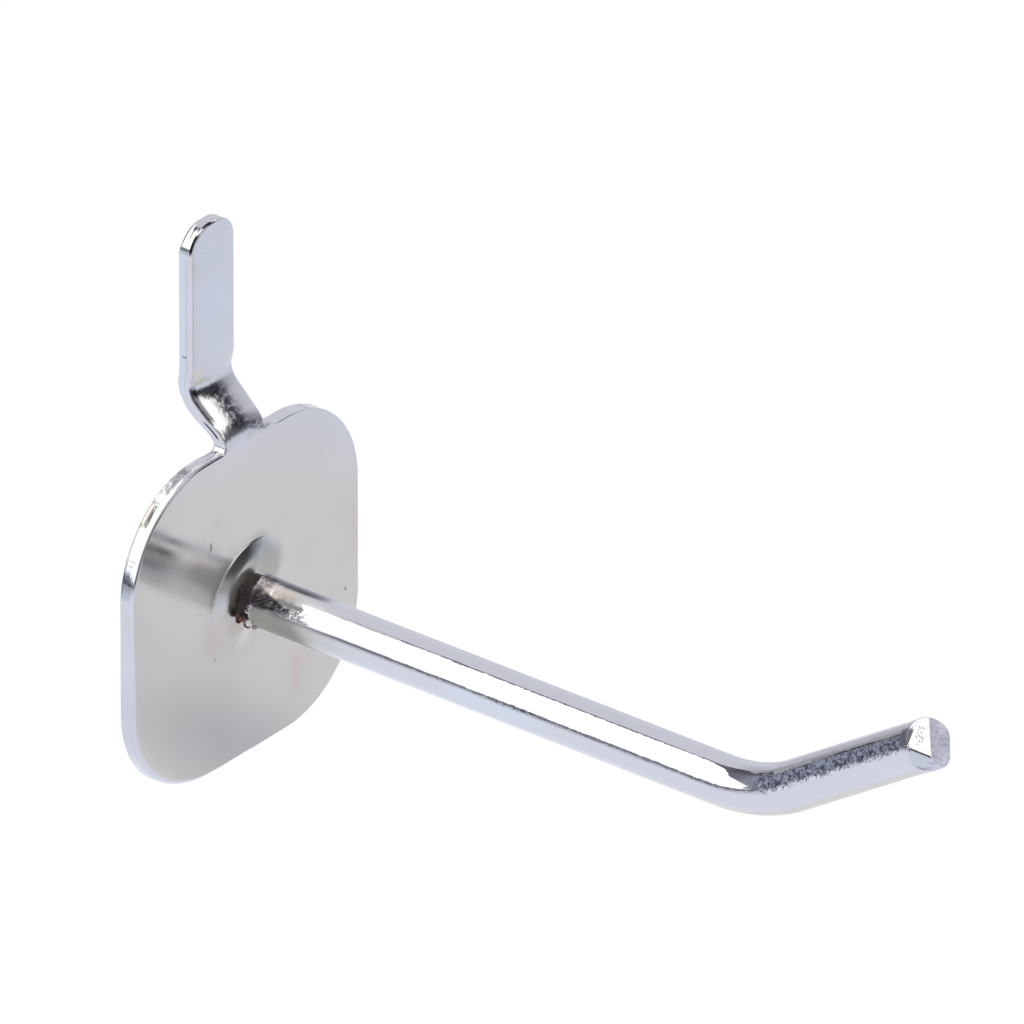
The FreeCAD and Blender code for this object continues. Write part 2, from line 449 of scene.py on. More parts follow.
class SheetForm:
    """Depth of the front and back faces of the cranked sheet, with its boss, in millimetres."""

    def __init__(self, plate):
        self.t = plate.thickness / MM
        self.top = plate.top / MM
        self.turn = plate.neck_angle
        self.low = plate.lower_bend / MM
        self.up = plate.upper_bend / MM
        self.gap = plate.board_gap / MM
        outer = self.low + self.t
        run = self.gap - self.up * (1 - math.cos(self.turn)) - self.low + outer * math.cos(self.turn)
        slant = run / math.sin(self.turn)
        rise = (outer + self.up) * math.sin(self.turn)
        self.upright = self.top + rise + slant * math.cos(self.turn)
        self.height = plate.boss_height / MM
        self.land = plate.boss_land / MM
        self.slope = plate.boss_slope
        self.foot_bend = 0.5  # inside radii of the bends at the boss's foot and shoulder
        self.shoulder_bend = 0.4
        bends = self.foot_bend + self.shoulder_bend + self.t
        straight = (self.height - bends * (1 - math.cos(self.slope))) / math.sin(self.slope)
        self.foot = self.land + bends * math.sin(self.slope) + straight * math.cos(self.slope)
        self.crown = plate.neck_crown / MM
        self.half_neck = plate.tongue_width / MM / 2
        self.half = plate.width / MM / 2
        self.bottom = plate.bottom / MM
        self.corner = plate.corner / MM

    def side(self, z, lower, upper, depth):
        """Depth of one face at height z, with its two bend radii and its depth on the plate."""
        sine, cosine = math.sin(self.turn), math.cos(self.turn)
        low_end = self.top + lower * sine
        up_start = self.upright - upper * sine
        low_y = self.low - arc_height(lower, np.clip(z - self.top, 0, lower * sine))
        slant_y = self.low - lower * cosine + (z - low_end) * math.tan(self.turn)
        up_y = self.gap - self.up + arc_height(upper, np.clip(self.upright - z, 0, upper * sine))
        above = np.where(z < up_start, slant_y, up_y)
        return np.where(z < self.top, depth, np.where(z < low_end, low_y, above))

    def front(self, z):
        return self.side(z, self.low + self.t, self.up, -self.t)

    def back(self, z):
        return self.side(z, self.low, self.up + self.t, 0.0)

    def boss(self, r, foot_bend, shoulder_bend):
        """Height of the boss at distance r from the prong's axis."""
        sine, cosine = math.sin(self.slope), math.cos(self.slope)
        foot_end = self.foot - foot_bend * sine
        shoulder_end = self.land + shoulder_bend * sine
        foot_y = foot_bend - arc_height(foot_bend, np.clip(self.foot - r, 0, foot_bend * sine))
        shoulder = arc_height(shoulder_bend, np.clip(r - self.land, 0, shoulder_bend * sine))
        shoulder_y = self.height - shoulder_bend + shoulder
        line = foot_bend * (1 - cosine) + (foot_end - r) * math.tan(self.slope)
        inner = np.where(r > shoulder_end, line, shoulder_y)
        return np.where(r >= self.foot, 0.0, np.where(r > foot_end, foot_y, inner))

    def foot_at(self, around):
        """Radius of the boss's foot, which is nearest to the prong at its upper left."""
        nearest_side, nearest, farthest = 137, 4.55, 5.5
        away = around - nearest_side
        return np.minimum(nearest + np.where(away < 0, 0.00018, 0.0004) * away ** 2, farthest)

    def pressed_boss(self, r, around):
        """Front of the boss: crisp on the upper left, where the punch bit, and soft on the other sides."""
        bite = smooth_step(around, 36, 78) * (1 - smooth_step(around, 160, 200))
        foot = self.foot_at(around)
        step, step_height, land = 0.10, 0.09, 2.9
        height = 0.48 + 0.20 * smooth_step(around, 40, 85)
        inside = np.clip((foot - step - r) / (foot - step - land), 0, 1)
        dome = (4 / 3) * (inside - np.maximum(inside - 0.5, 0) ** 2)
        crisp = step_height * np.clip((foot - r) / step, 0, 1) + (height - step_height) * dome
        soft_foot, soft_width = 6.5, 4.4
        half_rise = 0.15 + 0.18 * within(around, 165, 245, 35)
        soft = half_rise * (1 - np.cos(math.pi * np.clip((soft_foot - r) / soft_width, 0, 1)))
        return crisp * bite + soft * (1 - bite)

    def crowned(self, x, z):
        """How far the neck and tongue fall back towards their edges."""
        above = smooth_step(z, self.top + 1.1, self.top + 2.5)
        flatter = 1 - 0.75 * smooth_step(z, self.upright - 0.6, self.upright + 1.4)
        return self.crown * above * flatter * (x / self.half_neck) ** 2

    def margin(self, x, z):
        """How far the plate's margin rolls back towards its left and bottom edges."""
        middle = (self.top - self.bottom) / 2
        past_x = np.abs(x) - (self.half - self.corner)
        past_z = np.abs(z - middle) - ((self.top + self.bottom) / 2 - self.corner)
        outside = np.hypot(np.maximum(past_x, 0), np.maximum(past_z, 0))
        inset = self.corner - outside - np.minimum(np.maximum(past_x, past_z), 0)
        around = degrees_round(x, z)
        side = smooth_step(around, 150, 190) * (1 - smooth_step(around, 225, 250))
        roll_back, roll_width = 0.20, 2.6
        return roll_back * side * np.clip(1 - inset / roll_width, 0, 1) ** 2

    def front_at(self, x, z):
        r = np.hypot(x, z)
        boss = self.pressed_boss(r, degrees_round(x, z))
        rolled = np.where(z < self.top, self.margin(x, z), 0.0)
        return self.front(z) - boss + self.crowned(x, z) + rolled

    def back_at(self, x, z):
        r = np.hypot(x, z)
        boss = self.boss(r, self.foot_bend + self.t, self.shoulder_bend)
        return self.back(z) - boss + 0.6 * self.crowned(x, z)


# Distances in from the rim's rounding, in millimetres, of the rows on the front face
FRONT_STEPS = (0.10, 0.22, 0.36, 0.52, 0.72, 1.0, 1.35, 1.75)


def rim_radius(points):
    """Radius of the pressed front rim: soft at the lower left, crisp elsewhere, sharper on the right."""
    x, z = points[:, 0], points[:, 1]
    soft = (1 - smooth_step(z, -6.0, 6.0)) * (1 - smooth_step(x, -9.0, -3.0))
    crisp, softer, neck_radius, sharp = 0.22, 0.38, 0.26, 0.14
    neck = smooth_step(z, 15.0, 16.0)
    radius = (crisp + softer * soft) * (1 - neck) + neck_radius * neck
    return np.where(x > 0.5, sharp, radius)


def rim_run(points):
    """Distance of each point of the rim from the bottom centre, along its own side."""
    half = len(points) // 2
    steps = np.linalg.norm(np.diff(points[:half + 1], axis=0), axis=1)
    run = np.concatenate([[0], np.cumsum(steps)])
    return np.concatenate([run, run[-2:0:-1]])


def stamp_plate(plate, finish):
    """Plate and tongue: rows from the front face round the rim to the back face, and both faces closed."""
    form = SheetForm(plate)
    half, inward, parts = trace_rim(plate)
    mirror = np.array((-1.0, 1.0))
    rim = np.concatenate([half, half[-2:0:-1] * mirror])
    inner = np.concatenate([inward, inward[-2:0:-1] * mirror])
    last = len(half) - 1
    count = len(rim)
    run = rim_run(rim)
    left = rim[:, 0] < 0
    root = (form.half_neck + 0.1, form.top + 0.2)
    raised_root = 0.5 * np.exp(-((np.linalg.norm(rim - root, axis=1)) / 0.9) ** 2)
    rim[:, 1] += raised_root - 0.15 * smooth_step(rim[:, 1], 34.0, 36.9)
    rim[:, 0] += 0.1 * (rim[:, 0] > 0) * smooth_step(rim[:, 1], form.upright - 1, form.upright + 1)
    press = rim_radius(rim)
    back_press = 0.1 + 0.3 * smooth_step(run, 70.8, 72.5) + 0.15 * within(run, 51.0, 56.0, 1.0) * left
    lean = 0.15 * within(run, 37.0, 46.0, 2.0) * left
    reach = 2.2
    cloud = Cloud()

    def layout(v):
        return np.stack([run, np.broadcast_to(v, run.shape), rim[:, 0]], -1)

    def ring(depth_in, face, rounding):
        """Row of points at a distance in from the rim, on the front or the back face."""
        shift = depth_in + lean * np.exp(-depth_in / 0.8) if face == "front" else depth_in
        place = rim + inner * shift[:, None]
        x, z = place[:, 0], place[:, 1]
        fall = rounding - arc_height(rounding, np.maximum(rounding - depth_in, 0))
        y = form.front_at(x, z) + fall if face == "front" else form.back_at(x, z) - fall
        if face == "front":
            y = y + ripple(x, z)
        return np.stack([x, y, z], -1)

    def ripple(x, z):
        """Slight unevenness of the pressed sheet."""
        fade = smooth_step(np.hypot(x, z), 3.4, 5.5)
        return 0.012 * ridges(x, 0, z, 0.11, 3.1, 2) * fade

    def rounding_steps(rounding, steps):
        return [rounding * (1 - math.cos(math.pi / 2 * i / steps)) for i in range(steps + 1)]

    front_steps = rounding_steps(press, 7)
    front_steps += [press + (reach - press) * inner_step / reach for inner_step in FRONT_STEPS]
    front_steps += [np.full(count, reach)]
    back_steps = rounding_steps(back_press, 3)
    back_steps += [back_press + (reach - back_press) * part for part in (0.12, 0.3, 0.55, 0.8, 1.0)]

    rows = [cloud.add(ring(step, "front", press), layout(-step)) for step in front_steps[::-1]]
    edge = ring(front_steps[0], "front", press)
    lower_edge = ring(back_steps[0], "back", back_press)
    levels = 12
    smear = 0.27 * within(run, 41.3, 43.1, 0.5) * left
    for i in range(1, levels):
        share = i / levels
        wall = shear_marks(edge + (lower_edge - edge) * share, inner, share)
        out = smear * within(share, 0.62, 1.0, 0.2)
        wall[:, 0] -= inner[:, 0] * out
        wall[:, 2] -= inner[:, 1] * out
        rows.append(cloud.add(wall, layout(share * form.t)))
    rows += [cloud.add(ring(step, "back", back_press), layout(form.t + step)) for step in back_steps]
    cloud.bridge(rows)

    neck_start = int(np.flatnonzero(parts == NECK_ARC)[0])
    tip_start = int(np.flatnonzero(parts == TIP_ARC)[-1]) - 2
    for row, face in ((rows[0], "front"), (rows[-1], "back")):
        fill_face(cloud, row, form, face, neck_start, tip_start, last, ripple)
    return cloud.finish("chromed_plate", "plate_chrome", "back_plate", finish)


def shear_marks(wall, inner, share):
    """The rim's wall, with faint steps and nicks left by the blanking."""
    moved = wall.copy()
    steps = 0.016 * ridges(wall[:, 0], wall[:, 1] * 0.35, wall[:, 2], 1.7, 5.0, 2)
    depth = steps + 0.01 + 0.02 * smooth_step(share, 0.45, 0.65)
    moved[:, 0] += inner[:, 0] * depth
    moved[:, 2] += inner[:, 1] * depth
    return moved


def fill_face(cloud, row, form, face, neck_start, tip_start, last, ripple):
    """Closes one face inside its innermost row: a round field for the plate and a ladder for the tongue."""
    at = form.front_at if face == "front" else form.back_at
    points = np.array(cloud.points)[row]
    count = len(row)
    columns = 3

    def surface(x, z):
        y = at(x, z)
        if face == "front":
            y = y + ripple(x, z)
        return np.stack([x, y, z], -1)

    def rung(k):
        """Points across the tongue between the right and the left side of the row."""
        right, left = points[k], points[count - k]
        part = np.arange(1, columns + 1) / (columns + 1)
        x = right[0] + (left[0] - right[0]) * part
        z = right[2] + (left[2] - right[2]) * part
        return cloud.add(surface(x, z))

    ladder = [[row[k]] + rung(k) + [row[count - k]] for k in range(neck_start, tip_start + 1)]
    cloud.bridge(ladder, closed=False)
    tip = [row[k] for k in range(tip_start, last + 1)]
    tip += [row[count - k] for k in range(last - 1, tip_start - 1, -1)]
    middle = cloud.add(surface(np.array([0.0]), np.array([points[tip_start:last + 1, 2].mean()])))[0]
    cloud.faces += fan(tip, middle, closed=False)
    cloud.faces += fan(ladder[-1][::-1], middle, closed=False)

    loop = [row[k] for k in range(neck_start)] + ladder[0]
    loop += [row[count - k] for k in range(neck_start - 1, 0, -1)]
    outer = np.array(cloud.points)[loop]
    x, z = outer[:, 0], outer[:, 2]
    radius = np.hypot(x, z)
    way = np.stack([x / radius, z / radius])
    foot = form.foot_at(degrees_round(x, z))
    first_circle = foot + 0.9
    circles = [radius + (first_circle - radius) * i / 12 for i in range(1, 13)]
    circles += [foot + out for out in (0.78, 0.66, 0.54, 0.42, 0.3, 0.235, 0.17, 0.105)]
    circles += [foot + out for out in np.linspace(0.04, -0.2, 10)]
    circles += [foot - 0.2 + (3.2 - foot + 0.2) * part for part in np.linspace(0.06, 1, 15)]
    circles += [np.full(len(foot), r) for r in (3.0, 2.8, 2.4, 1.6, 0.8)]
    rows = [loop] + [cloud.add(surface(way[0] * r, way[1] * r)) for r in circles]
    cloud.bridge(rows)
    centre = cloud.add(surface(np.array([0.0]), np.array([0.0])))[0]
    cloud.faces += fan(rows[-1], centre)


# Prong


class ProngPath:
    """Places points given by distance from the board, and offsets across the wire, along the bent wire."""

    def __init__(self, prong):
        self.bend = prong.bend / MM
        self.turn = prong.upturn
        tangent = self.bend * math.tan(self.turn / 2)
        self.straight = prong.corner / MM - tangent
        self.arc = self.bend * self.turn
        self.total = self.straight + self.arc + prong.end / MM - tangent

    def place(self, s, across, up):
        """Row-frame points for arrays of distance, offset to the right and offset up."""
        angle = np.clip((s - self.straight) / self.bend, 0, self.turn)
        before = np.minimum(s, self.straight)
        after = np.maximum(s - self.straight - self.arc, 0)
        sine, cosine = np.sin(angle), np.cos(angle)
        y = -before - (self.bend - up) * sine - after * math.cos(self.turn)
        z = self.bend - (self.bend - up) * cosine + after * math.sin(self.turn)
        return np.stack([across, y, z], -1)


def end_depth(prong, a, b):
    """How far the sheared end lies behind the square tip, for points across the wire."""
    lean = prong.burnish_side
    toward = a * math.cos(lean) + b * math.sin(lean)
    burnished = -math.tan(prong.burnish_tilt) * toward
    roll = prong.roll_side
    rolled = -(a * math.cos(roll) + b * math.sin(roll) - prong.roll_flat / MM)
    crisp = np.minimum(0.0, burnished)
    soft = 0.16
    gap = np.clip(0.5 + 0.5 * (crisp - rolled) / soft, 0, 1)
    return crisp * (1 - gap) + rolled * gap - soft * gap * (1 - gap), toward


def torn_grain(a, b, toward):
    """Ridges that the shear tore in the square half of the end."""
    lean = math.radians(38)
    along = a * math.cos(lean) + b * math.sin(lean)
    across = -a * math.sin(lean) + b * math.cos(lean)
    wave = ridges(along * 0.55, across * 2.4, 0, 1.3, 4.0)
    rough = ridges(a, b, 1, 2.6, 7.0)
    inside = smooth_step(-toward, 0.12, 0.45) * (1 - smooth_step(np.hypot(a, b), 2.0, 2.35))
    return (0.03 * wave + 0.006 * rough) * inside


def draw_prong(prong, weld, finish):
    """Wire from inside the boss to its sheared end, rough where the weld stops and burred at the end."""
    path = ProngPath(prong)
    wire = prong.wire / MM
    foot = prong.foot / MM
    start = foot - SUNK
    angle, side, up, around = circle(176)
    to_chord = prong.chord / MM / np.maximum(np.cos(angle - prong.chord_side), 0.3)
    inset = np.maximum(wire - to_chord, 0.08) + 0.14 * within(around, 175, 255, 20)
    drop = 0.02 + 1.25 * inset
    burr = near_turn(around, 8, 26) + near_turn(around, 284, 28)
    squash = near_turn(around, 326, 20)
    cloud, rows = Cloud(), []

    def ring(s, radius):
        s = np.broadcast_to(s, angle.shape)
        radius = np.broadcast_to(radius, angle.shape)
        across, high = radius * side, radius * up
        return cloud.add(path.place(s, across, high), np.stack([across, -s, high], -1))

    lip_at = lip_line(weld, angle)
    lip_height = weld.lip / MM * (0.75 + 0.9 * ridges(3 * side, 0, 3 * up, 0.9, 2.0))
    for share in (0.0, 0.5, 0.9, 1.0):
        rows.append(ring(start + (lip_at + SUNK) * share, wire - 0.32))
    top_flare = within(around, 75, 130, 25)
    steps = np.concatenate([[0.0, 0.03, 0.07, 0.12], np.arange(0.18, 2.6, 0.08), np.arange(2.6, 8.0, 0.13)])
    for ahead in steps:
        d = lip_at + ahead
        lip = lip_height * np.exp(-((ahead - 0.07) / 0.13) ** 2) - 0.2 * max(0.0, 1 - ahead / 0.07)
        chewed = ridges(2.4 * side, 1.3 * d, 2.4 * up, 1.5, 6.0)
        seam = 0.045 * math.exp(-((ahead - 1.4) / 1.5) ** 2)
        flare = 0.16 * top_flare * (1 - smooth_step(ahead, 0.0, 3.0))
        rows.append(ring(foot + d, wire + lip + flare + seam * chewed + wander(foot + 2, side, up)))
    last_plain = path.total - 4.0
    for s in np.arange(foot + 9.8, last_plain, 0.4):
        rows.append(ring(s, wire + wander(s, side, up)))
    rim = wire + 0.10 * burr - 0.05 * squash
    end_ring, _ = end_depth(prong, (rim - inset) * side, (rim - inset) * up)
    raised = 0.16 * burr - 0.06 * squash
    final = path.total + end_ring - drop + raised
    for share in np.linspace(0, 1, 34):
        s = last_plain + (final - last_plain) * share
        uneven = (1 - share) * wander(last_plain, side, up)
        rows.append(ring(s, wire + uneven + (rim - wire) * smooth_step(share, 0.6, 1.0)))
    full_sine, full_fall = 0.9, 0.5643  # of the last turn of the rim's rounding
    for turn in (0.2, 0.4, 0.6, 0.8, 1.0, 1.12):
        ahead, fallen = math.sin(turn) / full_sine, (1 - math.cos(turn)) / full_fall
        rows.append(ring(final + drop * ahead, rim - inset * fallen))
    for share in np.concatenate([np.linspace(0.02, 0.2, 7), np.linspace(0.24, 0.97, 30)]):
        radius = (rim - inset) * (1 - share)
        a, b = radius * side, radius * up
        depth, toward = end_depth(prong, a, b)
        edge = math.exp(-(share / 0.3) ** 2)
        torn = torn_grain(a, b, toward) * (1 - edge)
        rows.append(ring(path.total + depth + raised * edge + torn, radius))
    cloud.bridge(rows)
    for row, s in ((rows[0], start), (rows[-1], path.total)):
        centre = cloud.add(path.place(np.array([s]), np.array([0.0]), np.array([0.0])), (0, -s, 0))[0]
        cloud.faces += fan(row, centre)
    return cloud.finish("chromed_prong", "rod_chrome", "hook_rod", finish)


def wander(s, side, up):
    """Slight unevenness of the drawn wire, in millimetres."""
    return 0.008 * ridges(2.4 * side, 0.09 * s, 2.4 * up, 0.35, 11.0, 2)


def lip_line(weld, angle):
    """Distance from the boss at which the weld ends and the clean wire starts, round the prong."""
    climb = weld.climb / MM
    side, up = np.cos(angle), np.sin(angle)
    uneven = ridges(3 * side, 1, 3 * up, 0.7, 8.0)
    left = smooth_step(-side, -0.6, 0.6)
    return climb * (0.62 + 0.26 * left + 0.14 * uneven)


# Weld


# Beads of spatter: degrees round the prong, distance from its axis, height above the boss, radius, and
# kind, which is 0 for a bare bead, 1 for a plated one and 2 for a dull plated one
BEADS = (
    (211, 2.42, 1.22, 0.40, 1), (169, 2.32, 1.5, 0.34, 2), (181, 2.35, 1.2, 0.24, 2),
    (232, 2.4, 1.45, 0.30, 2), (205, 2.5, 0.4, 0.28, 0), (238, 2.5, 0.4, 0.34, 0),
    (262, 2.45, 0.6, 0.28, 2), (196, 2.4, 0.85, 0.22, 0),
)


def lay_weld(weld, prong, finish):
    """Rough ring of fused metal round the prong's foot, with beads of spatter beside it."""
    wire = prong.wire / MM
    foot = prong.foot / MM
    levels = 30
    angle, side, up, around = circle(200)
    heavy = smooth_step(around, 180, 215) * (1 - smooth_step(around, 250, 300))
    left = smooth_step(around, 95, 150) * (1 - smooth_step(around, 262, 300))
    spread = -0.28 + 0.12 * left + (weld.spread / MM - 0.26) * heavy
    reach = lip_line(weld, angle)
    cloud, rows = Cloud(), []

    def ring(radius, d):
        d = np.broadcast_to(d, angle.shape)
        place = np.stack([radius * side, -foot - d, radius * up], -1)
        return cloud.add(place, np.stack([around / 10, d, np.zeros_like(d)], -1))

    rows.append(ring(wire - 0.33, -SUNK))
    for level in range(levels + 1):
        share = level / levels
        d = -SUNK + (reach + SUNK) * share
        lumps = ridges(2.6 * side, 1.5 * d, 2.6 * up, 1.2, 14.0, 4)
        climb = np.clip(d / reach, 0, 1)
        radius = wire + spread * (1 - 0.6 * climb) - 0.10 * climb + 0.22 * lumps * (0.4 + 0.6 * left)
        rows.append(ring(np.clip(radius, wire - 0.31, wire + 0.5), d))
    rows.append(ring(wire - 0.33, reach + 0.02))
    cloud.bridge(rows)
    cloud.faces += strip(rows[-1], rows[0])
    for number, (place, seat, rise, size, kind) in enumerate(BEADS):
        turn = math.radians(place)
        centre = np.array([seat * math.cos(turn), -foot - rise, seat * math.sin(turn)])
        add_bead(cloud, centre, size, number, (place / 10, rise, kind))
    return cloud.finish("weld_ring", "weld_metal", "weld_bead", finish)


def add_bead(cloud, centre, size, number, lay):
    """One lump of spatter: a rough ball."""
    ball = bmesh.new()
    bmesh.ops.create_icosphere(ball, subdivisions=4, radius=1.0)
    ball.verts.ensure_lookup_table()
    round_points = np.array([tuple(vertex.co) for vertex in ball.verts])
    swell = 1 + 0.35 * ridges(*round_points.T, 1.1, 20.0 + number)
    points = centre + round_points * size * swell[:, None]
    widest, lowest = 2.94, -1.95
    radial = np.hypot(points[:, 0], points[:, 2])
    points[:, ::2] *= np.minimum(1.0, widest / np.maximum(radial, 1e-6))[:, None]
    points[:, 1] = np.minimum(points[:, 1], lowest)
    numbers = cloud.add(points, lay)
    cloud.faces += [tuple(numbers[v.index] for v in face.verts) for face in ball.faces]
    ball.free()


# Finishes, with all places and sizes in millimetres

ROUND = (1.0, 1.0, 1.0)

# Pits and scratches on the plate: centre, size, stretch and strength
PITS = (
    ((-5.0, -1.5, 6.9), 0.24, (1.0, 1.0, 0.35), 1.0),
    ((14.2, -1.5, -5.6), 0.26, ROUND, 1.0),
    ((-4.44, -1.5, -4.8), 0.24, ROUND, 0.7),
    ((-13.0, -1.5, 9.6), 0.24, (0.3, 1.0, 1.0), 0.5),
    ((-1.1, 2.15, 34.0), 0.2, ROUND, 0.4),
)

# Marks on the left half of the rim, some of them painted reflection and painted shade: start and end along
# it, softness of both, and the depths in the wall at which the mark starts and is full, and then is still
# full and ends
RIM_MARKS = {
    "scuffed": (44.8, 47.8, 0.8, 0.3, 0.55),
    "nicked": (35.2, 37.5, 0.5, 0.12, 0.3, 1.5, 1.7),
    "greyed": (34.4, 37.2, 0.8, 0.12, 0.3, 1.5, 1.7),
    "smear": (41.0, 43.4, 0.6, 0.75, 1.05),
    "crescent": (71.5, 72.9, 0.6, -0.13, -0.06, 0.0, 0.07),
    "crescent_end": (74.2, 75.3, 0.4, -0.13, -0.06, 0.0, 0.07),
    "rear_line": (35.0, 41.0, 1.0, 1.3, 1.38, 1.48, 1.56),
    "edge_line": (36.0, 51.5, 1.0, -0.16, -0.08, -0.02, 0.05),
    "blue": (57.0, 70.6, 1.0, 0.55, 0.7),
    "side_line": (58.0, 70.0, 1.0, 0.36, 0.42, 0.48, 0.54),
    "tick": (60.45, 60.6, 0.1, 0.4, 0.5, 1.0, 1.2),
    "sliver": (53.5, 54.4, 0.4, 0.35, 0.5, 0.65, 0.85),
    "shaded": (55.0, 57.2, 0.6, -0.75, -0.45, -0.08, 0.02),
}

# Marks that the tool left in the burnished half of the sheared end: place across it, and narrowness
TIP_MARKS = (
    (-0.24, 1.72, 0.5), (-0.48, 1.58, 1.0), (0.02, 1.5, 0.5), (-0.72, 1.38, 1.2), (-0.36, 1.22, 1.0),
    (-1.04, 1.1, 0.6), (-0.72, 1.05, 0.5), (-1.0, 0.68, 0.6), (-0.55, 0.78, 0.5), (-0.72, 0.52, 1.2),
    (-1.3, 0.5, 1.0),
)


def plate_finish(colours):
    """Satin chromium with the plate's own marks, the stain and scorch of its weld, painted shade and
    reflections on its lower left, boss, rim and neck, and the dimples of the bent neck.
    """
    material, recipe = new_finish("plate_chromium")
    place = recipe.place()
    x, _, z = recipe.split(place)
    run, depth, side = recipe.split(recipe.laid())
    left = side.between(0.0, -0.2)
    coat = recipe.coat
    cloudy = recipe.grain(place, 0.09, 3.0, 0.55)
    fine = recipe.grain(place, 2.2, 3.0, 0.6)
    worn = recipe.grain(place, 0.35, 4.0, 0.65)
    streak = recipe.grain(recipe.join(run, depth * 0.12, 0.0), 3.2, 2.0, 0.5)
    peel = recipe.grain(place, 2.4, 3.0, 0.6)
    brush = recipe.grain(recipe.scaled(place, (0.25, 1.0, 1.0)), 3.0, 2.0, 0.5)

    def spot(centre, size, stretch=ROUND, ragged=0.5):
        """1 at a place on the plate, falling to 0 at a distance, with a ragged edge."""
        away = recipe.distance(recipe.scaled(place, stretch), tuple(c * k for c, k in zip(centre, stretch)))
        return (away + (fine - 0.5) * (ragged * size)).between(size, size * 0.35)

    def rim_mark(start, end, soft, *depths):
        band = run.inside(start - soft, start, end, end + soft) * left
        return band * (depth.between(*depths) if len(depths) == 2 else depth.inside(*depths))

    recipe.colour = recipe.blend(cloudy.between(0.35, 0.75) * 0.5, colours.chrome, colours.haze)
    coat(worn.between(0.62, 0.74) * 0.2, (0.47, 0.43, 0.42))
    marks = 0.0
    for centre, size, stretch, strength in PITS:
        marks = (spot(centre, size, stretch) * strength).over(marks)
    coat(marks * 0.55, colours.pit)
    pink = spot((7.3, -1.5, -11.3), 2.2, (1.6, 1.0, 0.8)) * worn.between(0.4, 0.62) * 0.3
    pink = pink.over(spot((-5.0, -1.8, -2.0), 2.4, (1.5, 1.0, 0.7), 0.2) * 0.12)
    pink = pink.over(spot((-7.0, -1.5, 4.0), 3.2, (1.0, 1.0, 1.3), 0.2) * 0.14)
    coat(pink, (0.56, 0.40, 0.36))
    # Painted reflection: the lower left of the plate darker and bluer, for the shadowed floor that it
    # mirrors
    shade_pool_place = recipe.join(recipe.dot(place, (1.53, 0, 1.63)), recipe.dot(place, (0.287, 0, 1.464)), 0.0)
    coat(recipe.distance(shade_pool_place, (-26.5, -21.4, 0)).between(16, 1) * 0.55, (0.35, 0.363, 0.385))

    # The boss, with painted shade and dark reflections on it, and the stain and scorch of its weld
    # Painted reflection: soft dark grey clouds on the boss to the upper right of the prong and above it
    boss_dark_reflection = spot((2.9, -1.9, 1.9), 2.9, ROUND, 0.1) * 0.62
    boss_dark_reflection = boss_dark_reflection.over(spot((0.4, -2.0, 2.9), 2.0, (0.7, 1.0, 1.0), 0.2) * 0.3)
    coat(boss_dark_reflection, (0.20, 0.195, 0.185))
    coat(spot((0, -1.9, 1.5), 5.6, ROUND, 0.1) * 0.8, (0.44, 0.44, 0.405))
    # Painted shade: a darker band along the boss's right edge
    from_side = recipe.distance(recipe.join(x, 0.0, z), (1.19, 0, -0.98))
    boss_edge_shade = from_side.inside(4.7, 5.5, 5.9, 6.02) * z.between(2.4, 3.5) * x.between(2.6, 1.2)
    coat(boss_edge_shade * 0.8, (0.10, 0.10, 0.105))
    # Painted reflection: a dark grey cloud on the boss above the prong
    coat(spot((1.7, -2.0, 4.0), 2.2, ROUND, 0.0) * 0.55, (0.27, 0.275, 0.25))
    coat(spot((-2.3, -2.0, -2.3), 1.2, ROUND, 0.9) * 0.12, colours.stain)
    burnt = spot((-1.2, -2.15, 1.2), 1.25, (1.0, 0.6, 1.25), 0.35)
    scorched = recipe.blend(fine.between(0.5, 0.68), (0.05, 0.043, 0.04), (0.24, 0.19, 0.16))
    coat(burnt * 0.95, scorched)

    # The rim
    rim = {name: rim_mark(*numbers) for name, numbers in RIM_MARKS.items()}
    scuffed = rim["scuffed"] * fine.between(0.30, 0.55)
    nicked = rim["nicked"] * streak.between(0.50, 0.60) * 0.6
    coat(rim["blue"] * 0.6, (0.50, 0.58, 0.63))
    coat(rim["greyed"] * 0.5, (0.26, 0.30, 0.34))
    coat(scuffed * 0.68, (0.14, 0.14, 0.16))
    coat(rim["smear"] * 0.8, (0.60, 0.575, 0.50))
    # Pit-coloured lines: real nicks and lines, and the dark line along the upper left front edge, which is
    # painted reflection
    lines = nicked.over(rim["edge_line"] * 0.6).over(rim["rear_line"] * 0.5)
    coat(lines.over(rim["side_line"] * 0.3).over(rim["tick"] * 0.6), colours.pit)
    # Painted shade: a dark strip just in from the front edge along the left side of the neck
    coat(rim["shaded"] * 0.85, (0.05, 0.052, 0.07))
    # Painted reflection: very dark crescents along the front edge at the tongue's tip; the same very dark
    # colour also on a sliver of the wall at the neck's flare
    coat(rim["crescent"].over(rim["crescent_end"]).over(rim["sliver"]), (0.015, 0.016, 0.025))

    # The neck, dimpled by its bends, with painted dark reflections across it
    bent = z.inside(15.2, 16.2, 20.6, 22.8)
    dimpled = bent * x.between(2.2, 0.4).over(z.between(17.8, 17.0))
    peel_mottle = peel.between(0.62, 0.44)
    # Painted reflection: dark mottled bands across the middle of the neck and towards its root
    middle = z.inside(16.6, 17.6, 19.5, 21.0) * x.inside(-1.5, -0.6, 0.2, 1.6)
    coat(middle * peel_mottle * 0.9, (0.10, 0.10, 0.13))
    to_root = (z + x * 0.405).inside(16.75, 17.05, 17.5, 17.95) * x.inside(-1.0, 0.0, 3.0, 3.6)
    coat(to_root * peel_mottle * 0.75, (0.12, 0.12, 0.15))

